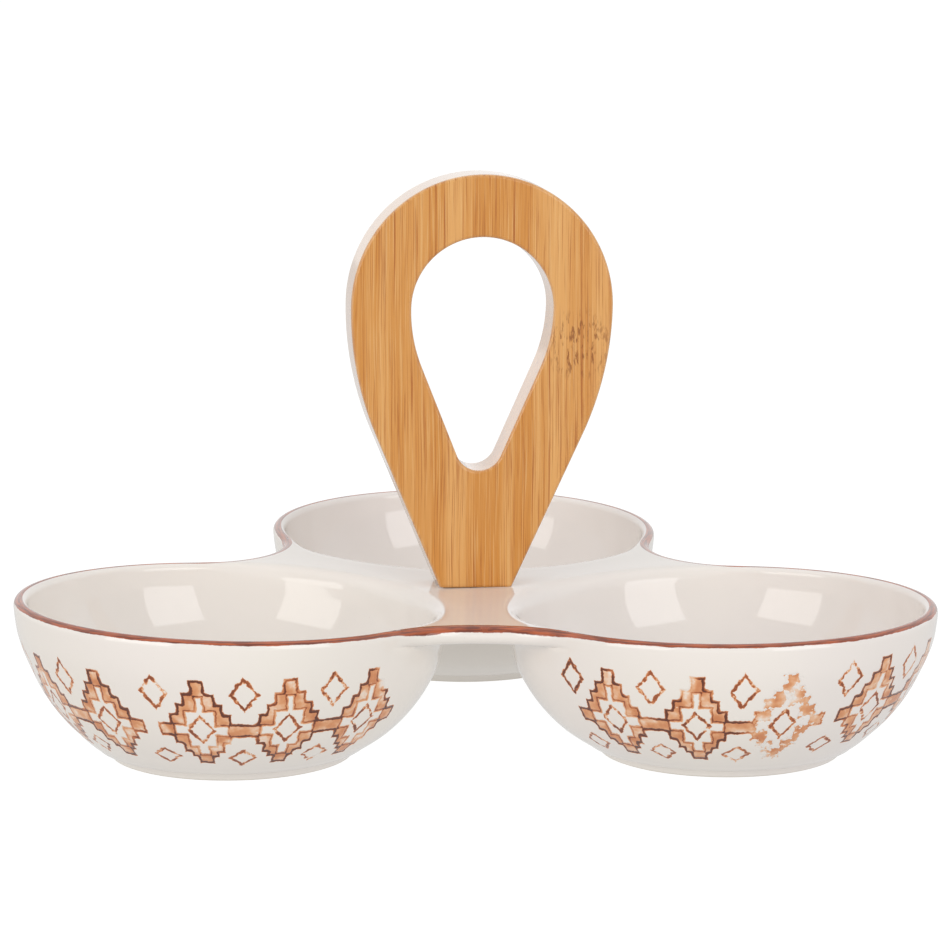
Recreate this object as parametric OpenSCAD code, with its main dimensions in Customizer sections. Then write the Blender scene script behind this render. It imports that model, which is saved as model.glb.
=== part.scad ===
// Divided serving bowl: three round bowls cast as one glazed ceramic dish,
// with an upright bamboo handle held on its middle by one screw from below.

/* [Dish] */
// Outer radius of each bowl at its rim
bowl_r = 62.7; // [55:0.1:66]
// Distance from the dish axis to the axis of each bowl
bowl_offset = 82.4; // [80:0.1:92]
// Height of the dish top on the dish axis, from where the rims rise outwards
centre_h = 41.4; // [37:0.1:44]
// Angle by which the rims rise outwards
rim_rise = 1.5; // [1:0.05:2]
// Radius of the round rim, half as large as the rim is thick
rim_round = 3.2; // [2.4:0.1:4]
// Radius of the outer wall in section
wall_arc_r = 48.5; // [47:0.5:54]
// Height of the centre of that radius above the rim
wall_arc_up = 0.8; // [0:0.1:3]
// Depth of each bowl inside, from its rim to its floor
bowl_depth = 36; // [28:0.5:37]
// Distance of the web's edge from the line between two bowl axes
neck_reach = 31.7; // [25:0.1:37]
// How far the web lies below the rims
web_drop = 0.3; // [0.3:0.05:0.8]
// Thickness of the web
web_t = 5.4; // [4.5:0.1:5.8]
// Radius of the fillet between a bowl and the underside of the web
web_fillet = 6; // [3:0.5:8]

/* [Feet] */
// Outer radius of the foot ring under each bowl, at the floor
foot_r = 35; // [28:0.5:37]
// Height of the foot ring
foot_h = 3; // [2:0.25:5]
// Width of the ring's flat bottom
foot_w = 4; // [2.5:0.5:8]
// How far the ring flares out towards the bowl
foot_flare = 1; // [0:0.25:2]

/* [Handle] */
// Thickness of the handle board
board_t = 15; // [12:0.5:20]
// Angle by which the handle is turned on the dish
handle_turn = 7; // [-30:1:30]
// Width of the handle's foot, from which its flanks rise to the round top
handle_foot_w = 22.9; // [20:0.1:28]
// Radius of the handle's round top
top_r = 39.3; // [37:0.1:43]
// Radius of the shoulders under the round top
shoulder_r = 75; // [60:1:90]
// Angle of the straight flanks from the vertical
flank_angle = 21.2; // [19:0.1:22]
// Width of the wood over the finger hole
grip_t = 18.6; // [16:0.1:22]
// Radius of the finger hole's round top
hole_r = 21.3; // [19:0.1:23]
// Radius of the shoulders of the finger hole
hole_shoulder_r = 45; // [38:1:52]
// Angle of the finger hole's flanks from the vertical
hole_flank = 22.8; // [20:0.1:24]
// Radius of the finger hole's bottom
hole_low_r = 7.1; // [5:0.1:9]

/* [Fasteners] */
// Thread diameter of the handle screw
screw_d = 6; // [5:0.5:6.5]
// Length of the handle screw under its head
screw_len = 25; // [22:0.5:28]
// Diameter of the screw head
head_d = 11.5; // [10:0.5:13]
// Height of the screw head
head_h = 3.6; // [3:0.1:5]
// Outer diameter of the threaded insert in the foot of the handle
insert_d = 9; // [8.5:0.5:10]
// Length of the threaded insert
insert_len = 14; // [10:0.5:18]
// Diameter of the flat washer
washer_d = 16; // [14:0.5:18]
// Thickness of the flat washer
washer_t = 1.5; // [1:0.1:2]
// Diameter of the rubber washer
cushion_d = 18; // [16:0.5:22]
// Thickness of the rubber washer
cushion_t = 2; // [1.5:0.1:3]
// Gap round the screw in the hole of the dish and in the rubber washer
hole_gap = 0.5; // [0.3:0.05:0.8]
// Gap round the screw in the flat washer
washer_gap = 0.2; // [0.1:0.05:0.4]
// Gap round the screw in the insert, and round the insert in the handle
thread_gap = 0.05; // [0.02:0.01:0.1]
// Depth of the hole in the handle past the tip of the screw
tip_gap = 3; // [1:0.5:6]

/* [Hidden] */
$fn = 96;
bowl_count = 3;
sector = 360 / bowl_count;
// The outline is centred between the tip of one bowl and the fronts of the others
axis_y = -bowl_offset / 4;
// Reach of a cut past what it cuts, and of a solid into what it joins
over = 2;

// Section of a bowl, as radius and height over the plane of its rim
rim_line = bowl_r - rim_round;
wall_arc_in = rim_line - sqrt(pow(wall_arc_r - rim_round, 2) - pow(wall_arc_up + rim_round, 2));
cavity_r = bowl_depth - rim_round;
cavity_line = rim_line - rim_round;

// The web rises by less than the rims, so that it keeps just below them all round each bowl
web_rise = rim_rise * 2 / 3;

// Fillet under the web, as radius and height over the plane of the rim, sunk into the wall and the web
fillet_sink = 0.4;
fillet_z = -web_drop - web_t - web_fillet + fillet_sink;
fillet_line = wall_arc_in - fillet_sink
    + sqrt(pow(wall_arc_r + web_fillet, 2) - pow(wall_arc_up - fillet_z, 2));

// Straight stretch of the outer wall, from just inside the rim's round to just under that fillet
rim_proud = 0.1;
straight_r = bowl_r - rim_proud;
straight_z = fillet_z - over / 2;
straight_in = wall_arc_in + sqrt(pow(wall_arc_r, 2) - pow(wall_arc_up - straight_z, 2));
straight_slope = (straight_r - straight_in) / (-rim_round - straight_z);

// Neck arcs between neighbouring bowls, which run a little way into both rims, and the web's round along them
neck_bite = 0.4;
neck_rim = bowl_r - neck_bite;
half_span = bowl_offset * sin(sector / 2);
mid_span = bowl_offset * cos(sector / 2);
neck_r = (pow(half_span, 2) + pow(neck_reach, 2) - pow(neck_rim, 2)) / (2 * (neck_rim - neck_reach));
neck_proud = 0.5;
neck_round = web_t / 2 + neck_proud;
neck_line = neck_r + neck_round;
neck_offset = mid_span + neck_reach + neck_r;
neck_z = web_top(mid_span + neck_reach) - web_t / 2;

// Flat seat under the handle, just proud of the sloping web, and the boss below it
seat_margin = 1;
seat_lift = 0.1;
seat_r = norm([board_t / 2, handle_foot_w / 2]) + seat_margin;
seat_z = web_top(seat_r) + seat_lift;
boss_h = 1.5;
boss_r = cushion_d / 2 + seat_margin;
boss_z = web_top(0) - web_t - boss_h;
cushion_z = boss_z - cushion_t;
washer_z = cushion_z - washer_t;
tip_z = washer_z + screw_len;

// Handle outline, whose rounds and flanks each run a little way into the next
flank_bite = 0.05;
shoulder_run = 8;
top_z = seat_z + flank_drop(handle_foot_w / 2, top_r, shoulder_r, flank_angle);
hole_z = top_z + top_r - grip_t - hole_r;
hole_low_z = hole_z - flank_drop(0, hole_r, hole_shoulder_r, hole_flank) + hole_low_r / sin(hole_flank);

// Height of the web's top at this distance from the dish axis
function web_top(rho) = centre_h - web_drop + rho * tan(web_rise);

// How far below the centre of its round top a drop's flank has come in to this half width
function flank_drop(half, r, side_r, flank) =
    side_r * sin(flank) + (r - side_r * (1 - cos(flank)) - half) / tan(flank);

// Half width of that flank at this height below the centre
function flank_half(below, r, side_r, flank) =
    r - side_r * (1 - cos(flank)) - (below - side_r * sin(flank)) * tan(flank);

// Places its children on the dish axis
module on_axis(z = 0) {
    translate([0, axis_y, z]) children();
}

// Copies its children to the three bowls
module each_bowl() {
    for (i = [0 : bowl_count - 1])
        rotate([0, 0, 90 + i * sector]) children();
}

// Copies its children to the centres of the three neck arcs
module each_neck() {
    each_bowl() rotate([0, 0, sector / 2]) translate([neck_offset, 0, 0]) children();
}

// Turns its children into the plane of a bowl's rim, on the axis of that bowl
module in_rim_plane() {
    translate([0, 0, centre_h]) rotate([0, -rim_rise, 0]) translate([bowl_offset, 0, 0]) children();
}

// Section of a bowl outside, up to the crown of its rim
module bowl_section() {
    intersection() {
        translate([wall_arc_in, wall_arc_up]) circle(wall_arc_r);
        polygon([[0, -rim_round], [straight_r, -rim_round],
                 [straight_r - (wall_arc_r - rim_round) * straight_slope, -wall_arc_r], [0, -wall_arc_r]]);
    }
    translate([rim_line, -rim_round]) circle(rim_round);
    translate([0, -rim_round - over]) square([rim_line, rim_round + over]);
}

// Section of the space inside a bowl, which leaves the inner half of its rim standing
module cavity_section() {
    intersection() {
        translate([cavity_line - cavity_r, -rim_round]) circle(cavity_r);
        translate([0, -bowl_depth]) square([cavity_line, cavity_r]);
    }
    translate([0, -bowl_depth]) square([cavity_line - cavity_r, cavity_r]);
    difference() {
        translate([0, -rim_round]) square([rim_line, rim_round + over]);
        translate([rim_line, -rim_round]) circle(rim_round);
    }
}

// Plan of the web, whose corners are the bowl axes and the centres of the neck arcs
module web_plan() {
    polygon([for (i = [0 : 2 * bowl_count - 1])
        (i % 2 == 0 ? bowl_offset : neck_offset) * [cos(90 + i * sector / 2), sin(90 + i * sector / 2)]]);
}

// Web between the bowls: a plate that rises outwards, with a round edge along each neck
module web() {
    difference() {
        intersection() {
            linear_extrude(2 * centre_h) web_plan();
            rotate_extrude() polygon([[0, web_top(0) - web_t], [neck_offset, web_top(neck_offset) - web_t],
                                      [neck_offset, web_top(neck_offset)], [0, web_top(0)]]);
        }
        each_neck() translate([0, 0, neck_z]) rotate_extrude() difference() {
            translate([0, -web_t]) square([neck_line, 2 * web_t]);
            translate([neck_line, 0]) circle(neck_round);
        }
    }
}

// Fillets between the bowls and the underside of the web, which end short of its round edges
module fillets() {
    difference() {
        intersection() {
            linear_extrude(centre_h) web_plan();
            each_bowl() in_rim_plane() rotate_extrude() difference() {
                translate([rim_line, fillet_z]) square([fillet_line - rim_line, web_fillet + web_t / 2]);
                translate([fillet_line, fillet_z]) circle(web_fillet);
            }
        }
        each_neck() cylinder(r = neck_line, h = centre_h);
    }
}

// Ring that a bowl stands on
module foot_ring() {
    inner = foot_r - foot_w;
    outer = foot_r + foot_flare;
    translate([bowl_offset, 0, 0]) rotate_extrude()
        polygon([[inner, 0], [foot_r, 0], [outer, foot_h], [outer, foot_h + over], [inner, foot_h + over]]);
}

module dish() {
    color("ivory") on_axis() difference() {
        union() {
            each_bowl() intersection() {
                in_rim_plane() rotate_extrude() bowl_section();
                translate([0, -bowl_offset, foot_h]) cube([2 * bowl_offset, 2 * bowl_offset, 2 * centre_h]);
            }
            each_bowl() foot_ring();
            web();
            fillets();
            translate([0, 0, boss_z]) cylinder(r = boss_r, h = boss_h + web_t / 2);
            translate([0, 0, seat_z - over]) cylinder(r = seat_r, h = over);
        }
        each_bowl() in_rim_plane() rotate_extrude() cavity_section();
        translate([0, 0, boss_z - over])
            cylinder(d = screw_d + 2 * hole_gap, h = seat_z - boss_z + 2 * over);
    }
}

// Outline with a round top, curved shoulders and straight flanks down to height low
module drop(top, r, side_r, flank, low) {
    shoulder_z = top - side_r * sin(flank);
    shoulder_x = r - flank_bite - side_r;
    high_half = flank_half(top - shoulder_z, r, side_r, flank) - 2 * flank_bite;
    low_half = flank_half(top - low, r, side_r, flank) - 2 * flank_bite;
    translate([0, top]) circle(r);
    intersection() {
        translate([-shoulder_x, top]) circle(side_r);
        translate([shoulder_x, top]) circle(side_r);
        translate([-r, shoulder_z - shoulder_run]) square([2 * r, top - shoulder_z + shoulder_run]);
    }
    polygon([[-low_half, low], [low_half, low], [high_half, shoulder_z], [-high_half, shoulder_z]]);
}

// Finger hole: the same outline, with its flanks running into a round bottom
module finger_hole() {
    drop(hole_z, hole_r, hole_shoulder_r, hole_flank, hole_low_z - hole_low_r * sin(hole_flank));
    translate([0, hole_low_z]) circle(hole_low_r);
}

module handle() {
    color("burlywood") on_axis() rotate([0, 0, handle_turn]) difference() {
        translate([0, board_t / 2, 0]) rotate([90, 0, 0]) linear_extrude(board_t) difference() {
            drop(top_z, top_r, shoulder_r, flank_angle, seat_z);
            finger_hole();
        }
        translate([0, 0, seat_z - over])
            cylinder(d = insert_d + 2 * thread_gap, h = insert_len + over);
        translate([0, 0, seat_z - over])
            cylinder(d = screw_d + 2 * hole_gap, h = tip_z + tip_gap - seat_z + over);
    }
}

module threaded_insert() {
    color("goldenrod") on_axis(seat_z) difference() {
        cylinder(d = insert_d, h = insert_len);
        translate([0, 0, -over]) cylinder(d = screw_d + 2 * thread_gap, h = insert_len + 2 * over);
    }
}

module handle_screw() {
    color("silver") on_axis(washer_z) {
        cylinder(d = screw_d, h = screw_len);
        translate([0, 0, -head_h]) cylinder(d = head_d, h = head_h);
    }
}

// Washer of thickness t, standing on height z
module washer(z, d, hole_d, t) {
    on_axis(z) difference() {
        cylinder(d = d, h = t);
        translate([0, 0, -over]) cylinder(d = hole_d, h = t + 2 * over);
    }
}

module flat_washer() {
    color("gainsboro") washer(washer_z, washer_d, screw_d + 2 * washer_gap, washer_t);
}

module rubber_washer() {
    color("dimgray") washer(cushion_z, cushion_d, screw_d + 2 * hole_gap, cushion_t);
}

dish();
handle();
threaded_insert();
handle_screw();
flat_washer();
rubber_washer();
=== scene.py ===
from math import asin, atan2, cos, hypot, pi, radians, sin, sqrt, tan

import bmesh
import bpy
from mathutils import Matrix, Vector


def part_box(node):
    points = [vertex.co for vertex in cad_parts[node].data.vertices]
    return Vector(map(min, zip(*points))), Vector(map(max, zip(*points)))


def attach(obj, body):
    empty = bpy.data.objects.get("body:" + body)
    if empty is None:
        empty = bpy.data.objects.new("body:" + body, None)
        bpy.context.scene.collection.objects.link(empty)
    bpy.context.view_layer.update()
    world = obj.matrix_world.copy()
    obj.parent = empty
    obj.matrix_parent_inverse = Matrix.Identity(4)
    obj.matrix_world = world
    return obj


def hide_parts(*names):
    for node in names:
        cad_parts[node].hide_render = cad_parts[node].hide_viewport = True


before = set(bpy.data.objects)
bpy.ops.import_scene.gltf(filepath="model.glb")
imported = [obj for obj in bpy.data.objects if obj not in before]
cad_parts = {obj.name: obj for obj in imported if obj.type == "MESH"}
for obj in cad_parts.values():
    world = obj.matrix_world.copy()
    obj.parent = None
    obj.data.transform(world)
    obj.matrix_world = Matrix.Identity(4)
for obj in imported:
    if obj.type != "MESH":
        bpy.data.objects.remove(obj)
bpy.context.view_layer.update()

# Dish
# Three round bowls and the web that joins them, slip cast as one stoneware shell on three foot rings.
# Lozenges are stamped round the outside and washed brown, the outline is lined by brush, and all is glazed.
mm = 0.001
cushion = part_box("rubber_washer")
axis_y = (cushion[0].y + cushion[1].y) / 2 / mm
seat_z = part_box("handle")[0].z / mm
bowl_out, bowl_r, lip_r = 82.4, 62.7, 2.0
cavity_in, cavity_r = 24.7, 34.0
cavity_depth = lip_r + cavity_r
wall_in, wall_r, wall_up = 14.28, 48.5, 0.8
plane_z, step_z = 44.0, 3.2
web_t, web_lip, web_roll, web_fillet = 5.4, 2.7, 5.3, 6.0
screw_hole_r = 3.5
sector = radians(60)
neck_reach = 31.7
neck_mid = bowl_out * cos(sector) + neck_reach
neck_r = ((bowl_out * sin(sector)) ** 2 + neck_reach ** 2 - bowl_r ** 2) / (2 * (bowl_r - neck_reach))
seam_line = Vector((cos(sector), sin(sector)))
neck = seam_line * (neck_mid + neck_r)
# a bowl is cut into steps from its outer side, past the neck and the seam between two bowls, to the axis
half_turn, neck_end, seam_end = 96, 72, 90
roll_steps, lip_steps, web_steps, fillet_steps = (57, 69), (56, 64), (57, 64), (61, 70)
floor_cuts, hollow_cuts, crest_cuts, lip_cuts, under_cuts, wall_cuts = 4, 16, 16, 6, 16, 18
under_lip, join_depth, wall_depth = 2.5, 14.0, 40.3
rim_rise, rim_power, rise_from, rise_run = 4.15, 1.1, 14.0, 131.0
tilt_x, tilt_y, level_r, tilted_r = 0.01125, 0.0034, 12.5, 40.0
neck_start = atan2(neck.y, neck.x - bowl_out) / pi * half_turn


def ease(value, low, high):
    """A smooth step from 0 at the low value to 1 at the high one."""
    t = min(max((value - low) / (high - low), 0), 1)
    return t * t * (3 - 2 * t)


def rim_height(x, y):
    """The rims rise away from the flat seat, and the firing has left the dish a little higher on one side."""
    rho = hypot(x, y)
    rise = rim_rise * max((rho - rise_from) / rise_run, 0) ** rim_power
    return seat_z + rise - (tilt_x * x + tilt_y * y) * ease(rho, level_r, tilted_r)


def wall_radius(z):
    """How far the outer wall is from the bowl's axis, at a height from the plane of the rims."""
    return wall_in + sqrt(wall_r ** 2 - (z - wall_up) ** 2)


def outline(step):
    """Where the dish ends at this step round a bowl, and the direction from there into the dish."""
    if step <= neck_start:
        ray = Vector((cos(pi * step / half_turn), sin(pi * step / half_turn)))
        return Vector((bowl_out, 0)) + bowl_r * ray, -ray
    if step <= neck_end:
        first = atan2(-neck.y, bowl_out - neck.x)
        turn = first + (sector - pi - first) * (step - neck_start) / (neck_end - neck_start)
        ray = Vector((cos(turn), sin(turn)))
        return neck + neck_r * ray, ray
    if step <= seam_end:
        run = (step - neck_end) / (seam_end - neck_end)
        return seam_line * ((neck_mid - web_lip) * (1 - run) + screw_hole_r * run), Vector((0, 0))
    turn = sector * (half_turn - step) / (half_turn - seam_end)
    return Vector((cos(turn), sin(turn))) * screw_hole_r, Vector((0, 0))


def spaced(points, count):
    """Points at equal distances along a line of points, without the first one."""
    runs = [0]
    for a, b in zip(points, points[1:]):
        runs.append(runs[-1] + (b - a).length)
    found, i = [], 0
    for n in range(1, count + 1):
        want = runs[-1] * n / count
        while i < len(points) - 2 and runs[i + 1] < want:
            i += 1
        gap = runs[i + 1] - runs[i]
        found.append(points[i].lerp(points[i + 1], (want - runs[i]) / gap if gap > 1e-9 else 1))
    return found


def section(step):
    """The shell cut along one ray from a bowl's axis, from its floor over the lip and under to the foot."""
    ray = Vector((cos(pi * step / half_turn), sin(pi * step / half_turn)))
    end, inward = outline(step)

    def on_ray(r, z):
        return Vector((bowl_out + r * ray.x, r * ray.y, z))

    def in_from_end(depth, z):
        return Vector((end.x + depth * inward.x, end.y + depth * inward.y, z))

    # floor, hollow and lip
    roll = lip_r + (web_roll - lip_r) * ease(step, *roll_steps)
    dip = asin((roll - lip_r) / (cavity_r + roll))
    roll_at = cavity_in + sqrt((cavity_r + roll) ** 2 - (roll - lip_r) ** 2)
    points = [on_ray(cavity_in * i / floor_cuts, -cavity_depth) for i in range(floor_cuts + 1)]
    for i in range(1, hollow_cuts + 1):
        turn = -pi / 2 + (pi / 2 - dip) * i / hollow_cuts
        points.append(on_ray(cavity_in + cavity_r * cos(turn), -lip_r + cavity_r * sin(turn)))
    rise = [pi - dip + (dip - pi / 2) * i / crest_cuts for i in range(crest_cuts + 1)]
    crest = [on_ray(roll_at + roll * cos(turn), -roll + roll * sin(turn)) for turn in rise]
    lip = lip_r + (web_lip - lip_r) * ease(step, *lip_steps)
    points += spaced(crest + [in_from_end(lip, 0)], crest_cuts)
    quarter = [radians(90 / lip_cuts) * i for i in range(1, lip_cuts + 1)]
    points += [in_from_end(lip * (1 - sin(b)), -lip * (1 - cos(b))) for b in quarter]

    # the upper wall outside, which turns into the underside of the web towards the dish axis
    wall = [-lip_r - under_lip * i / lip_cuts for i in range(1, lip_cuts + 1)]
    lower = join_depth - under_lip - lip_r
    wall += [-lip_r - under_lip - lower * i / under_cuts for i in range(1, under_cuts + 1)]
    beyond = Vector((end.x - bowl_out, end.y)).length - bowl_r
    plain = [on_ray(wall_radius(z) + beyond * (z + join_depth) / (join_depth - lip_r), z) for z in wall]
    fillet = web_fillet * ease(step, *fillet_steps)
    low = web_t + fillet
    fillet_at = wall_in + sqrt((wall_r + fillet) ** 2 - (wall_up + low) ** 2)
    last = atan2(wall_up + low, wall_in - fillet_at)
    arc = [pi / 2 + (last - pi / 2) * i / 12 for i in range(13)]
    under = [in_from_end(lip, -web_t)]
    under += [on_ray(fillet_at + fillet * cos(b), -low + fillet * sin(b)) for b in arc]
    start_z = -low + fillet * sin(last)
    down = [start_z + (-join_depth - start_z) * i / 6 for i in range(1, 7)]
    under += [on_ray(wall_radius(z), z) for z in down]
    webbed = [in_from_end(lip * (1 - cos(b)), -lip - (web_t - lip) * sin(b)) for b in quarter]
    webbed += spaced(under, under_cuts)
    if step > neck_end:
        for i in range(lip_cuts):
            points[i - lip_cuts].z = -lip * (i + 1) / lip_cuts
            webbed[i].z = -lip - (web_t - lip) * (i + 1) / lip_cuts
    points += [a.lerp(b, ease(step, *web_steps)) for a, b in zip(plain, webbed)]

    # lower wall, foot ring and base
    first, last = asin((join_depth + wall_up) / wall_r), asin((wall_depth + wall_up) / wall_r)
    for i in range(1, wall_cuts + 1):
        turn = first + (last - first) * i / wall_cuts
        points.append(on_ray(wall_in + wall_r * cos(turn), wall_up - wall_r * sin(turn)))
    foot = [(39.3, 3.08), (38.8, 2.92), (38, 2.86), (36.9, 2.84), (36.3, 2.7), (35.95, 2.3),
            (35.4, 0.6), (35.15, 0.18), (34.7, 0), (33, 0), (31.4, 0), (31.1, 0.15), (31, 0.5),
            (30.9, 2.3), (30.6, 2.9), (30, 3.1), (20, 3.3), (10, 3.4), (0, 3.4)]
    points += [on_ray(r, z - plane_z) for r, z in foot]
    return points


sections = [section(step) for step in range(half_turn + 1)]
crest_at = floor_cuts + hollow_cuts + crest_cuts
edge_at = crest_at + lip_cuts
under_at = edge_at + lip_cuts
fillet_end = under_at + under_cuts
wall_end = fillet_end + wall_cuts

lobe = bmesh.new()
station = lobe.verts.layers.int.new("station")
turn_layer = lobe.verts.layers.float.new("turn")
line_layer = lobe.verts.layers.float.new("line")
level_layer = lobe.verts.layers.float.new("level")
band_layer = lobe.verts.layers.float.new("band_turn")
rise_layer = lobe.verts.layers.float.new("band_rise")
smudge_layer = lobe.verts.layers.float.new("smudge")
profile = []
for i, point in enumerate(sections[0]):
    vert = lobe.verts.new(point)
    vert[station] = i
    profile.append(vert)
profile += [lobe.edges.new(pair) for pair in zip(profile, profile[1:])]
bmesh.ops.spin(lobe, geom=profile, cent=(bowl_out, 0, 0), axis=(0, 0, 1), angle=2 * pi,
               steps=2 * half_turn, use_merge=True)

# the side of each bowl that faces the dish axis is drawn out into the web, with a boss under its middle
boss_h = (seat_z - web_t - cushion[1].z / mm) / (plane_z - web_t - step_z) * (plane_z - step_z)
boss_r, boss_foot_r = 10.5, 15.0
wall_shift, shift_from, shift_to = 0.8, (3, 9), (24, 36)
brush_w, neck_brush_w, brush_steps = 2.1, 0.4, (52, 64)
far_inside, far_below = 30, 20
seam = set()
for vert in lobe.verts:
    x, y = vert.co.x - bowl_out, vert.co.y
    step = round(atan2(y, x) / pi * half_turn) if hypot(x, y) > 1e-6 else 0
    i = vert[station]
    point = sections[abs(step)][i]
    vert.co = Vector((point.x, point.y if step >= 0 else -point.y, point.z))
    rho = hypot(point.x, point.y)
    z = plane_z + point.z
    if edge_at < i < fillet_end and abs(step) > neck_end:
        z -= boss_h * (1 - ease(rho, boss_r, boss_foot_r)) * min((i - edge_at) / (under_at - edge_at), 1)
    if i > edge_at and (abs(step) <= neck_end or i >= fillet_end):
        vert.co.x -= wall_shift * ease(z, *shift_from) * (1 - ease(z, *shift_to))
    vert[level_layer] = z
    if neck_end <= abs(step) <= seam_end and crest_at <= i <= under_at:
        seam.add(vert)
    vert[turn_layer] = 180 * step / half_turn
    reach = brush_w + neck_brush_w * ease(abs(step), *brush_steps)
    crest = sections[abs(step)][crest_at]
    inside = (crest - point).length if i < crest_at else 0
    away = max(neck_mid - web_lip - crest.xy.length, 0) if abs(step) > neck_end else 0
    if i <= crest_at:
        vert[line_layer] = -min(inside + away, far_inside) / reach
    elif i <= under_at:
        vert[line_layer] = (pi / 2 * lip_r * (i - crest_at) / (edge_at - crest_at) + away) / reach
    else:
        vert[line_layer] = far_below
cut = [face for face in lobe.faces if all(vert in seam for vert in face.verts)]
bmesh.ops.delete(lobe, geom=cut, context="FACES")
bmesh.ops.remove_doubles(lobe, verts=lobe.verts, dist=1e-4)

# each bowl is lifted to the rims' height, and its stamped band set where the potter began it
above_band, below_band, band_half = 200, -50, 140
low_turns, smudge_turns = (15, 60), (7, 15)
rear_shrink, shrink_from, shrink_to = 0.022, bowl_out - 40, bowl_out - 5
shell = bmesh.new()
# turns of the bowl and its band, the band's height at the sides and in the middle, and its worn place
bowls = ((0, 0, 0, 0, -90), (120, -2.5, 0, 0.6, 160), (240, 7.9, 0.25, 2.65, -45))
for bowl_turn, group_turn, band_low, band_end, smudged in bowls:
    turned = Matrix.Rotation(radians(90 + bowl_turn), 4, "Z")
    for vert in lobe.verts:
        level = vert[level_layer]
        spot = turned @ vert.co
        share = min(max((level - step_z) / (plane_z - step_z), 0), 1)
        vert.co.z = level + (rim_height(spot.x, spot.y) - plane_z) * share
        vert[band_layer] = vert[turn_layer] - group_turn
        base = band_end + (band_low - band_end) * ease(abs(vert[turn_layer]), *low_turns)
        on_wall = vert[station] <= wall_end and abs(vert[turn_layer]) < band_half
        rise = vert.co.z - base if on_wall else below_band
        vert[rise_layer] = above_band if vert[station] <= edge_at else rise
        vert[smudge_layer] = 1 - ease(abs(vert[turn_layer] - smudged), *smudge_turns)
    third = lobe.copy()
    if bowl_turn == 0:
        for vert in third.verts:
            shrink = rear_shrink * ease(vert.co.x, shrink_from, shrink_to)
            vert.co.x -= (vert.co.x - bowl_out) * shrink
            vert.co.y -= vert.co.y * shrink
    place = Matrix.Translation((0, axis_y * mm, 0)) @ Matrix.Scale(mm, 4) @ turned
    bmesh.ops.transform(third, matrix=place, verts=third.verts)
    copy = bpy.data.meshes.new("bowl")
    third.to_mesh(copy)
    third.free()
    shell.from_mesh(copy)
    bpy.data.meshes.remove(copy)
bmesh.ops.remove_doubles(shell, verts=shell.verts, dist=2e-6)
bmesh.ops.recalc_face_normals(shell, faces=shell.faces)
for face in shell.faces:
    face.smooth = True
dish_mesh = bpy.data.meshes.new("dish_shell")
shell.to_mesh(dish_mesh)
shell.free()
lobe.free()
dish = bpy.data.objects.new("dish_shell", dish_mesh)
bpy.context.scene.collection.objects.link(dish)


def srgb(red, green, blue):
    """A colour from its values on a screen."""
    def linear(value):
        value /= 255
        return value / 12.92 if value <= 0.04045 else ((value + 0.055) / 1.055) ** 2.4
    return linear(red), linear(green), linear(blue), 1


def node(tree, kind, sockets=None, **settings):
    """A node of this kind, with its settings, and its input sockets set or linked."""
    made = tree.nodes.new(kind)
    for name, value in settings.items():
        setattr(made, name, value)
    for name, value in (sockets or {}).items():
        if isinstance(value, bpy.types.NodeSocket):
            tree.links.new(value, made.inputs[name])
        else:
            made.inputs[name].default_value = value
    return made


def sums(tree, operation, *values):
    """One step of reckoning with values or sockets."""
    return node(tree, "ShaderNodeMath", dict(enumerate(values)), operation=operation).outputs[0]


def plus(first, second):
    return sums(tree, "ADD", first, second)


def minus(first, second):
    return sums(tree, "SUBTRACT", first, second)


def times(first, second):
    return sums(tree, "MULTIPLY", first, second)


def least(first, second):
    return sums(tree, "MINIMUM", first, second)


def most(first, second):
    return sums(tree, "MAXIMUM", first, second)


def size_of(value):
    return sums(tree, "ABSOLUTE", value)


def soft_step(value, low, high):
    """A mask from 0 at the low value to 1 at the high one, which may be the smaller."""
    made = node(tree, "ShaderNodeMapRange", {"Value": value, "From Min": low, "From Max": high},
                interpolation_type="SMOOTHSTEP")
    return made.outputs["Result"]


def spread(value, low, high):
    """A value between 0 and 1, brought between two others."""
    return node(tree, "ShaderNodeMapRange", {"Value": value, "To Min": low, "To Max": high}).outputs["Result"]


def stretched(vector, *scale):
    """A position with its axes scaled, so that a texture is drawn out along the small ones."""
    return node(tree, "ShaderNodeMapping", {"Vector": vector, "Scale": scale}).outputs["Vector"]


def noise(vector, scale, detail=2.0, rough=0.5):
    sockets = {"Vector": vector, "Scale": scale, "Detail": detail, "Roughness": rough}
    return node(tree, "ShaderNodeTexNoise", sockets).outputs["Fac"]


def tint(mask, under, over):
    """One colour or value over another, as far as the mask goes."""
    made = node(tree, "ShaderNodeMix", {0: mask}, data_type="RGBA")
    for slot, value in ((6, under), (7, over)):
        if isinstance(value, bpy.types.NodeSocket):
            tree.links.new(value, made.inputs[slot])
        else:
            made.inputs[slot].default_value = value
    return made.outputs[2]


def sockets_of(group, inputs, outputs):
    """Gives a node group its sockets, and returns what goes in and what comes out."""
    for name in inputs:
        group.interface.new_socket(name, in_out="INPUT", socket_type="NodeSocketFloat")
    for name in outputs:
        group.interface.new_socket(name, in_out="OUTPUT", socket_type="NodeSocketFloat")
    return group.nodes.new("NodeGroupInput").outputs, group.nodes.new("NodeGroupOutput").inputs


# one block of a stepped lozenge, as its distance in millimetres, negative inside
block = bpy.data.node_groups.new("stamped block", "ShaderNodeTree")
given, put = sockets_of(block, ("Across", "Height", "Half width", "Low", "High"), ("Distance",))
side = sums(block, "SUBTRACT", given["Across"], given["Half width"])
over = sums(block, "SUBTRACT", given["Height"], given["High"])
below = sums(block, "SUBTRACT", given["Low"], given["Height"])
block.links.new(sums(block, "MAXIMUM", side, sums(block, "MAXIMUM", over, below)), put["Distance"])

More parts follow.
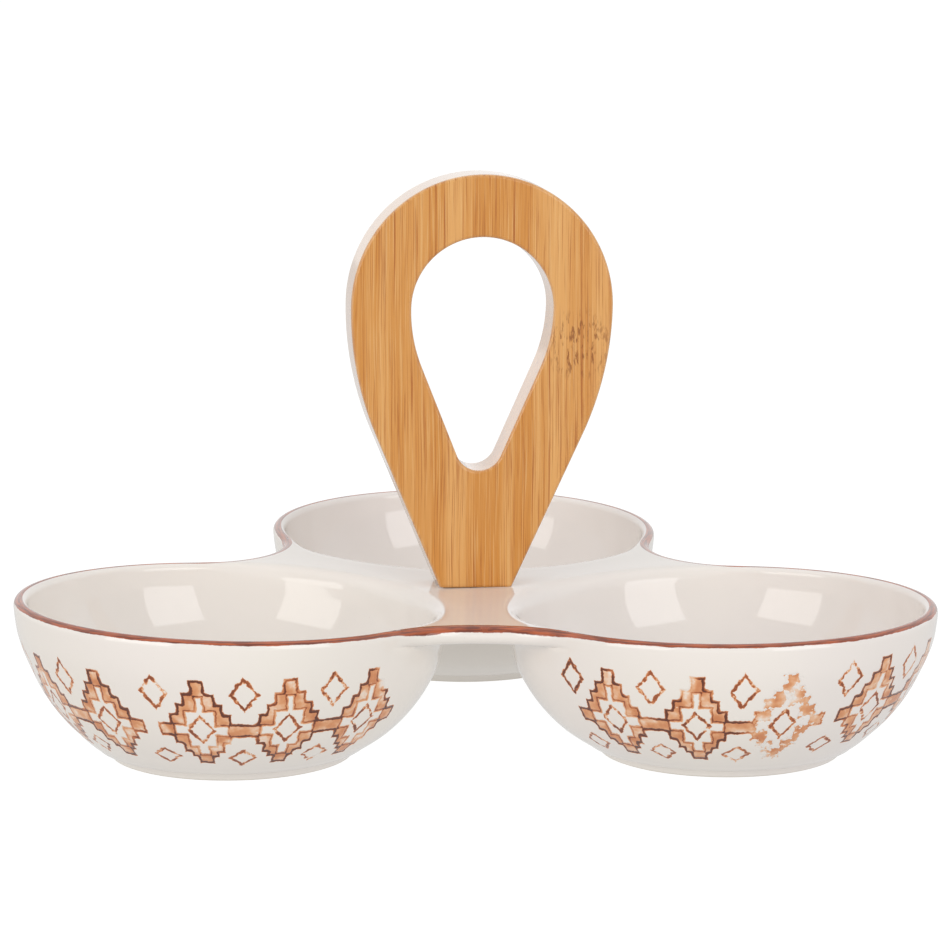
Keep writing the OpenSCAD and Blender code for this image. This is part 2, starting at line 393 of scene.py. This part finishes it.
# one diamond, as its distance in millimetres, negative inside
diamond = bpy.data.node_groups.new("stamped diamond", "ShaderNodeTree")
given, put = sockets_of(diamond, ("Across", "Height", "Half width", "Middle", "Half height"), ("Distance",))
aside = sums(diamond, "DIVIDE", given["Across"], given["Half width"])
off_middle = sums(diamond, "ABSOLUTE", sums(diamond, "SUBTRACT", given["Height"], given["Middle"]))
above = sums(diamond, "DIVIDE", off_middle, given["Half height"])
square = sums(diamond, "POWER", given["Half width"], 2.0)
square = sums(diamond, "ADD", square, sums(diamond, "POWER", given["Half height"], 2.0))
span = sums(diamond, "MULTIPLY", given["Half width"], given["Half height"])
span = sums(diamond, "DIVIDE", span, sums(diamond, "SQRT", square))
out = sums(diamond, "SUBTRACT", sums(diamond, "ADD", aside, above), 1.0)
diamond.links.new(sums(diamond, "MULTIPLY", out, span), put["Distance"])

glaze = bpy.data.materials.new("cream_glaze")
glaze.use_nodes = True
tree = glaze.node_tree
tree.nodes.clear()
at = node(tree, "ShaderNodeTexCoord").outputs["Object"]
turn = node(tree, "ShaderNodeAttribute", attribute_name="turn").outputs["Fac"]
line = node(tree, "ShaderNodeAttribute", attribute_name="line").outputs["Fac"]
band_turn = node(tree, "ShaderNodeAttribute", attribute_name="band_turn").outputs["Fac"]
band_rise = node(tree, "ShaderNodeAttribute", attribute_name="band_rise").outputs["Fac"]
smudge = node(tree, "ShaderNodeAttribute", attribute_name="smudge").outputs["Fac"]
wobble = node(tree, "ShaderNodeTexNoise", {"Vector": at, "Scale": 420.0, "Detail": 3.0, "Roughness": 0.6})
wobble = node(tree, "ShaderNodeSeparateColor", {"Color": wobble.outputs["Color"]})
band_turn = plus(band_turn, times(minus(wobble.outputs[0], 0.5), 1.6))
height = plus(band_rise, times(minus(wobble.outputs[1], 0.5), 1.3))

# along the band a degree of turn is this many millimetres, and the lozenges stand in threes
degree = 0.97
pitch, period, last_turn = 24.85, 79.5, 113.0
diamond_off, rhomb_off = 2.8, 1.4


def nearest(angle, gap):
    """The nearest of three places, one in the middle and one a gap to each side of it."""
    counted = sums(tree, "ROUND", sums(tree, "DIVIDE", angle, gap))
    return times(least(most(counted, -1.0), 1.0), gap)


group_at = nearest(band_turn, period)
in_group = minus(band_turn, group_at)
lozenge_at = nearest(in_group, pitch)
in_lozenge = minus(in_group, lozenge_at)
group_side = size_of(in_group)
in_gap = sums(tree, "GREATER_THAN", group_side, pitch)
between = minus(group_side, plus(pitch / 2, times(in_gap, (period - pitch) / 2)))
between_turn = times(between, sums(tree, "SIGN", in_group))
lozenge_shown = sums(tree, "LESS_THAN", size_of(minus(turn, in_lozenge)), last_turn)
between_shown = sums(tree, "LESS_THAN", size_of(minus(turn, between_turn)), last_turn)
across = times(size_of(in_lozenge), degree)
across_group = times(group_side, degree)
upper_aside = minus(between_turn, times(in_gap, diamond_off))
lower_aside = minus(between_turn, times(in_gap, rhomb_off))
across_upper = times(size_of(upper_aside), degree)
across_lower = times(size_of(lower_aside), degree)


def stamped(group, **sockets):
    """The distance from one stamped shape of these sizes."""
    made = node(tree, "ShaderNodeGroup", node_tree=group)
    for name, value in sockets.items():
        name = name.replace("_", " ").capitalize()
        if isinstance(value, bpy.types.NodeSocket):
            tree.links.new(value, made.inputs[name])
        else:
            made.inputs[name].default_value = value
    return made.outputs["Distance"]


def joined(distances, round_r):
    """Stamped shapes run into one, with their inner corners rounded."""
    found = distances[0]
    for distance in distances[1:]:
        found = sums(tree, "SMOOTH_MIN", found, distance, round_r)
    return found


outer = joined([stamped(block, across=across, height=height, half_width=w * degree, low=low, high=high)
                for w, low, high in ((8.35, 14.75, 24.05), (6.1, 11.95, 27.25), (4.03, 10.25, 30.55),
                                     (1.64, 18.75, 34.55), (2.34, 7.85, 18.75))]
               + [stamped(block, across=across_group, height=height, half_width=37.14 * degree,
                          low=17.25, high=20.95)], 1.5)
inner = joined([stamped(block, across=across, height=height, half_width=w * degree, low=low, high=high)
                for w, low, high in ((7.97, 17.55, 20.95), (4.31, 13.55, 25.45),
                                     (1.13, 18.75, 29.95), (1.78, 10.65, 18.75))], 0.4)
fray = times(minus(noise(at, 700.0, 2.0), 0.5), smudge)
body = sums(tree, "SMOOTH_MAX", outer, minus(-0.1, inner), 0.3)
body = plus(body, times(fray, 4.0))
heart = stamped(diamond, across=across, height=height, half_width=3.75 * degree,
                middle=19.35, half_height=4.3)
upper = stamped(diamond, across=across_upper, height=height, half_width=3.56 * degree,
                middle=30.55, half_height=4.8)
lower = stamped(diamond, across=across_lower, height=height, half_width=4.31 * degree,
                middle=9.65, half_height=2.6)


def drawn(distance, width):
    """A line along the edge of a stamped shape."""
    return soft_step(size_of(distance), width, width * 0.35)


beads = times(minus(noise(at, 750.0, 1.0), 0.5), 1.1)


def beaded(distance, width):
    """The same line where the colour has drawn together in beads."""
    return drawn(plus(size_of(distance), beads), width)


wash = times(soft_step(body, 0.12, -0.12), lozenge_shown)
body_line = times(drawn(body, 0.54), lozenge_shown)
heart_line = times(beaded(heart, 0.55), lozenge_shown)
small_line = times(most(beaded(upper, 0.62), beaded(lower, 0.5)), between_shown)
fine_line = most(heart_line, small_line)

patchy = noise(at, 55.0, 2.0)
grainy = noise(at, 900.0, 3.0, 0.6)
streaky = noise(at, 190.0, 3.0, 0.55)
worn = soft_step(minus(noise(at, 330.0, 3.0, 0.6), times(smudge, 0.1)), 0.24, 0.34)
wash_share = times(wash, soft_step(plus(streaky, times(patchy, 0.4)), 0.3, 0.75))
wash_share = times(wash_share, worn)
line_share = times(body_line, soft_step(plus(patchy, times(streaky, 0.35)), 0.4, 0.7))
line_share = times(line_share, minus(1.0, smudge))
fine_share = times(fine_line, soft_step(plus(streaky, times(grainy, 0.8)), 0.62, 0.98))

inside = tint(soft_step(noise(at, 9.0, 2.0), 0.35, 0.65), srgb(242, 237, 231), srgb(239, 233, 229))
outside = tint(soft_step(noise(at, 14.0, 2.0), 0.35, 0.65), srgb(241, 235, 226), srgb(240, 233, 227))
cream = tint(soft_step(line, 0.0, 2.0), inside, outside)
specks = soft_step(noise(at, 1500.0, 1.0), 0.77, 0.82)
cream = tint(times(specks, 0.25), cream, srgb(205, 195, 178))
place_at = node(tree, "ShaderNodeSeparateXYZ", {"Vector": at}).outputs
biscuit = soft_step(place_at["Z"], 0.0005, 0.0001)
cream = tint(biscuit, cream, srgb(214, 205, 190))
thick = times(wash_share, plus(0.2, times(soft_step(streaky, 0.3, 0.7), 0.32)))
rimmed = soft_step(size_of(outer), 1.1, 0.5)
thick = plus(thick, times(line_share, plus(0.42, times(rimmed, 0.55))))
thick = plus(thick, times(fine_share, plus(0.5, times(patchy, 0.7))))
pigment = node(tree, "ShaderNodeValToRGB", {"Fac": thick})
ramp = pigment.color_ramp
ramp.elements[0].position = 0.1
ramp.elements[0].color = srgb(242, 206, 176)
ramp.elements[1].position = 1.0
ramp.elements[1].color = srgb(98, 46, 26)
for spot, shade in ((0.35, srgb(228, 164, 116)), (0.6, srgb(198, 112, 60)), (0.8, srgb(152, 78, 42))):
    ramp.elements.new(spot).color = shade
colour = tint(soft_step(thick, 0.0, 0.2), cream, pigment.outputs["Color"])

ragged = minus(plus(noise(at, 75.0, 3.0, 0.6), times(grainy, 0.25)), 0.62)
brushed = plus(line, times(ragged, 0.6))
lined = times(soft_step(brushed, 1.03, 0.93), soft_step(line, -0.36, -0.22))
along = node(tree, "ShaderNodeCombineXYZ", {"X": times(turn, 0.09), "Y": times(line, 2.6)}).outputs[0]
bristles = noise(along, 1.3, 3.0, 0.6)
rim_brown = tint(soft_step(bristles, 0.35, 0.65), srgb(106, 36, 6), srgb(184, 84, 32))
# The rim line is painted paler towards the back of the dish. This is painted glare, standing in for the light
# that washes the line out there.
painted_glare_fade = minus(0.95, times(soft_step(place_at["Y"], -0.005, 0.03), 0.2))
colour = tint(times(lined, painted_glare_fade), colour, rim_brown)

pressed = plus(most(body_line, fine_line), times(wash, 0.6))
rippled = times(noise(at, 60.0, 1.0), 0.25)
surface = minus(rippled, times(pressed, 0.5))
relief = node(tree, "ShaderNodeBump", {"Strength": 0.5, "Distance": 0.0004, "Height": surface})
sheen = spread(noise(at, 30.0, 2.0), 0.03, 0.07)
sheen = plus(sheen, times(biscuit, 0.6))
shader = node(tree, "ShaderNodeBsdfPrincipled",
              {"Base Color": colour, "Roughness": sheen, "Normal": relief.outputs["Normal"], "IOR": 1.52})
node(tree, "ShaderNodeOutputMaterial", {"Surface": shader.outputs["BSDF"]})
dish_mesh.materials.append(glaze)
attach(dish, "dish")
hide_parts("dish")

# Threaded insert
# A brass bush with the screw's thread inside, turned from bar and pressed into the foot of the handle.
# It can't be seen once the handle stands on its seat.
brass = bpy.data.materials.new("turned_brass")
brass.use_nodes = True
tree = brass.node_tree
tree.nodes.clear()
at = node(tree, "ShaderNodeTexCoord").outputs["Object"]
turned_line = noise(stretched(at, 0.05, 0.05, 1), 6000.0, 2.0)
colour = tint(turned_line, srgb(196, 158, 84), srgb(226, 192, 118))
dull = spread(noise(at, 700.0), 0.22, 0.4)
shader = node(tree, "ShaderNodeBsdfPrincipled", {"Base Color": colour, "Roughness": dull, "Metallic": 1.0})
node(tree, "ShaderNodeOutputMaterial", {"Surface": shader.outputs["BSDF"]})
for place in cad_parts["threaded_insert"].material_slots:
    place.material = brass

# Handle
# A drop-shaped board sawn from laminated bamboo with the strips standing upright, sanded and lacquered.
# It stands on the middle of the dish, a little askew, and is pulled down by the screw in its foot.
board_t, board_turn, board_lean = 15.0, radians(7), radians(1.35)
top_r, shoulder_r, flank = 39.3, 95.0, radians(23.77)
hole_r, hole_side_r, hole_flank, hole_low_r, grip = 21.3, 45.0, radians(22.8), 7.1, 18.6
foot_half = 10.9
top_z = seat_z + shoulder_r * sin(flank) + (top_r - shoulder_r * (1 - cos(flank)) - foot_half) / tan(flank)
hole_z = top_z + top_r - grip - hole_r
edge_r = 1.1


def curve_on(bm, vert, centre, angle, count):
    """Spins a vertex about a point of the board's face and returns the vertex that it ends on."""
    made = bmesh.ops.spin(bm, geom=[vert], cent=(centre[0], 0, centre[1]), axis=(0, -1, 0), angle=angle,
                          steps=count)
    return next(item for item in made["geom_last"] if isinstance(item, bmesh.types.BMVert))


def line_to(bm, vert, x, z):
    """Draws a straight edge to a point of the board's face and returns its vertex."""
    made = bmesh.ops.extrude_vert_indiv(bm, verts=[vert])["verts"][0]
    made.co = (x, 0, z)
    return made


board = bmesh.new()
foot_right = board.verts.new((foot_half, 0, seat_z))
shoulder = (top_r - shoulder_r + shoulder_r * cos(flank), top_z - shoulder_r * sin(flank))
tip = line_to(board, foot_right, *shoulder)
tip = curve_on(board, tip, (top_r - shoulder_r, top_z), flank, 14)
tip = curve_on(board, tip, (0, top_z), pi, 72)
tip = curve_on(board, tip, (shoulder_r - top_r, top_z), flank, 14)
tip = line_to(board, tip, -foot_half, seat_z)
board.edges.new((tip, foot_right))
hole_drop = hole_side_r * sin(hole_flank) + (hole_r - hole_side_r * (1 - cos(hole_flank))) / tan(hole_flank)
low_z = hole_z - hole_drop + hole_low_r / sin(hole_flank)
first = board.verts.new((hole_low_r * cos(hole_flank), 0, low_z - hole_low_r * sin(hole_flank)))
side = (hole_r - hole_side_r + hole_side_r * cos(hole_flank), hole_z - hole_side_r * sin(hole_flank))
tip = line_to(board, first, *side)
tip = curve_on(board, tip, (hole_r - hole_side_r, hole_z), hole_flank, 10)
tip = curve_on(board, tip, (0, hole_z), pi, 48)
tip = curve_on(board, tip, (hole_side_r - hole_r, hole_z), hole_flank, 10)
tip = line_to(board, tip, -first.co.x, first.co.z)
tip = curve_on(board, tip, (0, low_z), pi - 2 * hole_flank, 20)
bmesh.ops.remove_doubles(board, verts=board.verts, dist=1e-3)
bmesh.ops.triangle_fill(board, edges=board.edges, use_beauty=True)
grown = bmesh.ops.extrude_face_region(board, geom=board.faces[:])
grown = [item for item in grown["geom"] if isinstance(item, bmesh.types.BMVert)]
bmesh.ops.translate(board, verts=grown, vec=(0, board_t, 0))
bmesh.ops.translate(board, verts=board.verts, vec=(0, -board_t / 2, 0))
bmesh.ops.recalc_face_normals(board, faces=board.faces)
rounded = [edge for edge in board.edges if edge.is_manifold and edge.calc_face_angle() > 0.6
           and max(vert.co.z for vert in edge.verts) > seat_z + 0.01]
bmesh.ops.bevel(board, geom=rounded, offset=edge_r, affect="EDGES", segments=4, profile=0.5, material=-1)
edge_layer = board.verts.layers.float.new("edge")
for vert in board.verts:
    vert[edge_layer] = min(1, (board_t / 2 - abs(vert.co.y)) / edge_r)
for face in board.faces:
    face.smooth = True
lift = foot_half * sin(board_lean) / 2
lean = Matrix.Rotation(board_lean, 4, "Y") @ Matrix.Translation((0, 0, -seat_z))
lean = Matrix.Translation((0, 0, seat_z + lift)) @ lean
bmesh.ops.transform(board, matrix=lean, verts=board.verts)
for vert in board.verts:
    vert.co.z = max(vert.co.z, seat_z + 0.02)
place = Matrix.Translation((0, axis_y * mm, 0)) @ Matrix.Rotation(board_turn, 4, "Z") @ Matrix.Scale(mm, 4)
bmesh.ops.transform(board, matrix=place, verts=board.verts)
handle_mesh = bpy.data.meshes.new("bamboo_handle")
board.to_mesh(handle_mesh)
board.free()
handle = bpy.data.objects.new("bamboo_handle", handle_mesh)
bpy.context.scene.collection.objects.link(handle)
handle.modifiers.new("flat faces", "WEIGHTED_NORMAL").keep_sharp = True

bamboo = bpy.data.materials.new("lacquered_bamboo")
bamboo.use_nodes = True
tree = bamboo.node_tree
tree.nodes.clear()
at = node(tree, "ShaderNodeTexCoord").outputs["Object"]
at = node(tree, "ShaderNodeVectorMath", {0: at, 1: (0, -axis_y * mm, 0)}, operation="ADD").outputs[0]
at = node(tree, "ShaderNodeMapping", {"Vector": at, "Rotation": (0, 0, -board_turn)}).outputs["Vector"]
bend = node(tree, "ShaderNodeTexNoise", {"Vector": at, "Scale": 18.0, "Detail": 1.0})
bend = node(tree, "ShaderNodeVectorMath", {0: bend.outputs["Color"], 1: (0.0016, 0.0016, 0.0)},
            operation="MULTIPLY").outputs[0]
grain_at = node(tree, "ShaderNodeVectorMath", {0: at, 1: bend}, operation="ADD").outputs[0]
upright = stretched(grain_at, 1, 0.4, 0.012)
broad = noise(upright, 200.0, 2.0)
fibres = noise(stretched(grain_at, 1, 0.4, 0.015), 1150.0, 4.0, 0.7)
hair = noise(upright, 2600.0, 2.0)
honey = tint(soft_step(broad, 0.35, 0.65), srgb(226, 168, 98), srgb(210, 142, 64))
honey = tint(times(soft_step(fibres, 0.52, 0.68), 0.85), honey, srgb(170, 94, 30))
honey = tint(times(soft_step(hair, 0.54, 0.7), 0.55), honey, srgb(168, 90, 28))
pale = times(soft_step(hair, 0.46, 0.32), 0.45)
honey = tint(pale, honey, srgb(234, 190, 128))

# one node of the cane in the right arm, with its short dark bundles
knot_at = node(tree, "ShaderNodeVectorMath", {0: at, 1: (0.031, 0, 0.114)}, operation="SUBTRACT").outputs[0]
knot_at = node(tree, "ShaderNodeVectorMath", {0: knot_at, 1: (90, 0, 85)}, operation="MULTIPLY").outputs[0]
knot = node(tree, "ShaderNodeVectorMath", {0: knot_at}, operation="LENGTH").outputs["Value"]
knot = soft_step(knot, 1.1, 0.45)
dashes = noise(stretched(at, 1, 0.4, 0.22), 1200.0, 3.0, 0.6)
dashes = times(knot, soft_step(dashes, 0.52, 0.64))
honey = tint(times(dashes, 0.85), honey, srgb(140, 78, 28))
edge = node(tree, "ShaderNodeAttribute", attribute_name="edge").outputs["Fac"]
# The sawn edges are painted paler, a painted highlight for the glancing light they catch. The same mask also
# makes them really glossier, with lower roughness and a coat.
honey = tint(times(edge, 0.42), honey, srgb(240, 214, 186))
satin = spread(edge, 0.3, 0.18)
shader = node(tree, "ShaderNodeBsdfPrincipled",
              {"Base Color": honey, "Roughness": satin, "Coat Weight": edge})
shader.inputs["Coat Roughness"].default_value = 0.12
node(tree, "ShaderNodeOutputMaterial", {"Surface": shader.outputs["BSDF"]})
handle_mesh.materials.append(bamboo)
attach(handle, "handle")
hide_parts("handle")

# Rubber washer
# A black rubber disc punched from sheet, laid under the boss of the dish.
# It keeps the steel off the glaze and takes up the screw's pull.
def disc(name, outer_r, inner_r, low, high, edge_r):
    """A punched ring on the dish axis between two heights, with slightly rounded edges."""
    ring = bmesh.new()
    corners = [ring.verts.new((r, 0, z)) for r, z in ((outer_r, low), (outer_r, high),
                                                      (inner_r, high), (inner_r, low))]
    corners += [ring.edges.new(pair) for pair in zip(corners, corners[1:] + corners[:1])]
    bmesh.ops.spin(ring, geom=corners, cent=(0, 0, 0), axis=(0, 0, 1), angle=2 * pi, steps=64,
                   use_merge=True)
    bmesh.ops.remove_doubles(ring, verts=ring.verts, dist=1e-4)
    bmesh.ops.recalc_face_normals(ring, faces=ring.faces)
    sharp = [edge for edge in ring.edges if edge.calc_face_angle() > 1]
    bmesh.ops.bevel(ring, geom=sharp, offset=edge_r, affect="EDGES", segments=3, profile=0.5, material=-1)
    return finished(ring, name)


def finished(bm, name):
    """Sets a piece that was made in millimetres on the dish axis, and puts it into the scene."""
    place = Matrix.Translation((0, axis_y * mm, 0)) @ Matrix.Scale(mm, 4)
    bmesh.ops.transform(bm, matrix=place, verts=bm.verts)
    for face in bm.faces:
        face.smooth = True
    mesh = bpy.data.meshes.new(name)
    bm.to_mesh(mesh)
    bm.free()
    made = bpy.data.objects.new(name, mesh)
    bpy.context.scene.collection.objects.link(made)
    made.modifiers.new("flat faces", "WEIGHTED_NORMAL").keep_sharp = True
    return made


rubber_r, rubber_hole_r, rubber_edge_r = 9.0, 3.5, 0.3
rubber_washer = disc("rubber_disc", rubber_r, rubber_hole_r, cushion[0].z / mm, cushion[1].z / mm,
                     rubber_edge_r)
rubber = bpy.data.materials.new("black_rubber")
rubber.use_nodes = True
tree = rubber.node_tree
tree.nodes.clear()
at = node(tree, "ShaderNodeTexCoord").outputs["Object"]
dust = noise(at, 900.0, 4.0, 0.65)
colour = tint(soft_step(dust, 0.45, 0.75), srgb(38, 37, 36), srgb(66, 63, 60))
grain = node(tree, "ShaderNodeBump", {"Strength": 0.3, "Distance": 0.0001, "Height": noise(at, 4000.0)})
shader = node(tree, "ShaderNodeBsdfPrincipled",
              {"Base Color": colour, "Roughness": 0.75, "Normal": grain.outputs["Normal"]})
node(tree, "ShaderNodeOutputMaterial", {"Surface": shader.outputs["BSDF"]})
rubber_washer.data.materials.append(rubber)
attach(rubber_washer, "dish")
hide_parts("rubber_washer")

# Flat washer
# A zinc-plated steel washer, stamped from strip, that spreads the pull of the screw head over the rubber.
# It turns with the screw when the handle is turned on the dish.
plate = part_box("flat_washer")
plate_r, plate_hole_r, plate_edge_r = 8.0, 3.2, 0.18
flat_washer = disc("steel_washer", plate_r, plate_hole_r, plate[0].z / mm, plate[1].z / mm, plate_edge_r)
steel = bpy.data.materials.new("zinc_plated_steel")
steel.use_nodes = True
tree = steel.node_tree
tree.nodes.clear()
at = node(tree, "ShaderNodeTexCoord").outputs["Object"]
spangle = noise(at, 350.0, 3.0, 0.6)
colour = tint(soft_step(spangle, 0.35, 0.7), srgb(196, 199, 204), srgb(222, 223, 222))
dull = spread(noise(at, 1400.0, 3.0), 0.24, 0.42)
shader = node(tree, "ShaderNodeBsdfPrincipled", {"Base Color": colour, "Roughness": dull, "Metallic": 1.0})
node(tree, "ShaderNodeOutputMaterial", {"Surface": shader.outputs["BSDF"]})
flat_washer.data.materials.append(steel)
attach(flat_washer, "handle")
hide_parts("flat_washer")

# Handle screw
# A pan-head steel screw with a cross recess, zinc plated, driven up through both washers and the dish.
# Its rolled thread runs in the brass insert and pulls the handle down on its seat.
head_z, tip_z = (corner.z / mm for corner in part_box("handle_screw"))
neck_z = plate[0].z / mm
head_h = neck_z - head_z
shank_r, core_r, shank_l, thread_at = 2.98, 2.5, 7.0, 8.0
screw = bmesh.new()
profile = [(3.7, 0), (4.6, 0.22), (5.25, 0.75), (5.6, 1.5), (5.72, 2.5), (5.72, head_h - 0.12), (5.6, head_h)]
profile = [screw.verts.new((r, 0, head_z + z)) for r, z in profile]
shank = ((shank_r, neck_z), (shank_r, neck_z + shank_l), (core_r, neck_z + 7.6),
         (core_r, tip_z - 0.7), (1.8, tip_z), (0, tip_z))
profile += [screw.verts.new((r, 0, z)) for r, z in shank]
profile += [screw.edges.new(pair) for pair in zip(profile, profile[1:])]
bmesh.ops.spin(screw, geom=profile, cent=(0, 0, 0), axis=(0, 0, 1), angle=2 * pi, steps=48, use_merge=True)
bmesh.ops.remove_doubles(screw, verts=screw.verts, dist=1e-4)
face_edges = [edge for edge in screw.edges if all(abs(vert.co.z - head_z) < 1e-4 for vert in edge.verts)]
arm, half, recess_depth, recess_taper = 2.7, 0.75, 2.1, 0.55
corners = [(arm, -half), (arm, half), (half, half)]
cross = [Matrix.Rotation(pi / 2 * i, 2) @ Vector(corner) for i in range(4) for corner in corners]
cross = [screw.verts.new((spot.x, spot.y, head_z)) for spot in cross]
cross = [screw.edges.new(pair) for pair in zip(cross, cross[1:] + cross[:1])]
bmesh.ops.triangle_fill(screw, edges=face_edges + cross, use_beauty=True)
deep = bmesh.ops.extrude_edge_only(screw, edges=cross)["geom"]
floor_verts = [item for item in deep if isinstance(item, bmesh.types.BMVert)]
bmesh.ops.scale(screw, verts=floor_verts, vec=(recess_taper, recess_taper, 1))
bmesh.ops.translate(screw, verts=floor_verts, vec=(0, 0, recess_depth))
floor_edges = [item for item in deep if isinstance(item, bmesh.types.BMEdge)
               and all(vert in floor_verts for vert in item.verts)]
bmesh.ops.triangle_fill(screw, edges=floor_edges, use_beauty=True)
bmesh.ops.recalc_face_normals(screw, faces=screw.faces)
turns, turn_steps, thread_pitch = 15, 24, 1.0
ridge = ((2.45, 0), (2.97, 0.4), (2.97, 0.5), (2.45, 0.9))
ridge = [screw.verts.new((r, 0, neck_z + thread_at + z)) for r, z in ridge]
ridge += [screw.edges.new(pair) for pair in zip(ridge, ridge[1:])]
bmesh.ops.spin(screw, geom=ridge, cent=(0, 0, 0), axis=(0, 0, 1), dvec=(0, 0, thread_pitch / turn_steps),
               angle=2 * pi * turns, steps=turns * turn_steps)
handle_screw = finished(screw, "cross_head_screw")
handle_screw.data.materials.append(steel)
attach(handle_screw, "handle")
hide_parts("handle_screw")

# Stage
# A plain white floor under a white room, with one tall softbox on each side of the camera.
floor_mesh = bpy.data.meshes.new("floor")
plane = bmesh.new()
bmesh.ops.create_grid(plane, x_segments=1, y_segments=1, size=12)
plane.to_mesh(floor_mesh)
plane.free()
floor = bpy.data.objects.new("floor", floor_mesh)
bpy.context.scene.collection.objects.link(floor)
paper = bpy.data.materials.new("white_paper")
paper.use_nodes = True
tree = paper.node_tree
tree.nodes.clear()
rays = node(tree, "ShaderNodeLightPath").outputs
seen = most(rays["Is Camera Ray"], rays["Is Transmission Ray"])
matt = node(tree, "ShaderNodeBsdfDiffuse", {"Color": (0.9, 0.9, 0.9, 1)})
floor_glow, seen_glow, mirrored_glow = 0.68, 0.44, 0.08
glow = plus(floor_glow, plus(times(seen, seen_glow), times(rays["Is Glossy Ray"], mirrored_glow)))
white = node(tree, "ShaderNodeEmission", {"Color": (1, 1, 1, 1), "Strength": glow})
mixed = node(tree, "ShaderNodeMixShader", {0: 0.85, 1: matt.outputs[0], 2: white.outputs[0]})
node(tree, "ShaderNodeOutputMaterial", {"Surface": mixed.outputs[0]})
floor_mesh.materials.append(paper)

room = bpy.data.worlds.new("white_room")
bpy.context.scene.world = room
room.use_nodes = True
tree = room.node_tree
tree.nodes.clear()
rays = node(tree, "ShaderNodeLightPath").outputs
seen = most(rays["Is Camera Ray"], rays["Is Transmission Ray"])
way = node(tree, "ShaderNodeTexCoord").outputs["Generated"]
way = node(tree, "ShaderNodeSeparateXYZ", {"Vector": way}).outputs
horizon_light, overhead_light = 0.29, 0.58
room_light = plus(horizon_light, times(most(way["Z"], 0.0), overhead_light))
mirrored = minus(1.0, times(soft_step(way["Y"], 0.25, -0.35), 0.75))
strength = tint(rays["Is Glossy Ray"], room_light, mirrored)
strength = tint(seen, strength, (1, 1, 1, 1))
sky = node(tree, "ShaderNodeBackground", {"Color": (1, 1, 1, 1), "Strength": strength})
node(tree, "ShaderNodeOutputWorld", {"Surface": sky.outputs[0]})

middle = Vector((0, axis_y * mm, 0.05))
lamp_distance = 2.5
softboxes = (("softbox_left", -48.5, 16.5, 1.6, 1.75, 22, (1, 0.975, 0.93)),
             ("softbox_right", 38, 17.5, 1.4, 1.95, 21, (0.99, 0.98, 1)))
for name, side, lift, wide, tall, watts, shade in softboxes:
    lamp = bpy.data.lights.new(name, "AREA")
    lamp.shape = "RECTANGLE"
    lamp.size = wide
    lamp.size_y = tall
    lamp.energy = watts
    lamp.color = shade
    box = bpy.data.objects.new(name, lamp)
    bpy.context.scene.collection.objects.link(box)
    a, e = radians(side), radians(lift)
    away = Vector((sin(a) * cos(e), -cos(a) * cos(e), sin(e)))
    box.location = middle + lamp_distance * away
    box.rotation_euler = away.to_track_quat("Z", "Y").to_euler()

# Camera
# It stands a little above the rims and slightly to the left of the dish's own middle line.
camera = bpy.data.objects.new("camera", bpy.data.cameras.new("camera"))
bpy.context.scene.collection.objects.link(camera)
camera.data.lens = 146.473
camera.data.sensor_width = 36
camera_at = Vector((-0.03805, -1.16237, 0.27181))
heading, pitch_down, roll = radians(1.949), radians(9.802), radians(0.109)
ahead = Vector((sin(heading) * cos(pitch_down), cos(heading) * cos(pitch_down), -sin(pitch_down)))
level = Vector((cos(heading), -sin(heading), 0))
up = level.cross(ahead)
right = level * cos(roll) + up * sin(roll)
up = up * cos(roll) - level * sin(roll)
camera.matrix_world = Matrix((
    (right.x, up.x, -ahead.x, camera_at.x),
    (right.y, up.y, -ahead.y, camera_at.y),
    (right.z, up.z, -ahead.z, camera_at.z),
    (0, 0, 0, 1)))
bpy.context.scene.camera = camera

bpy.context.scene.view_settings.view_transform = "Standard"
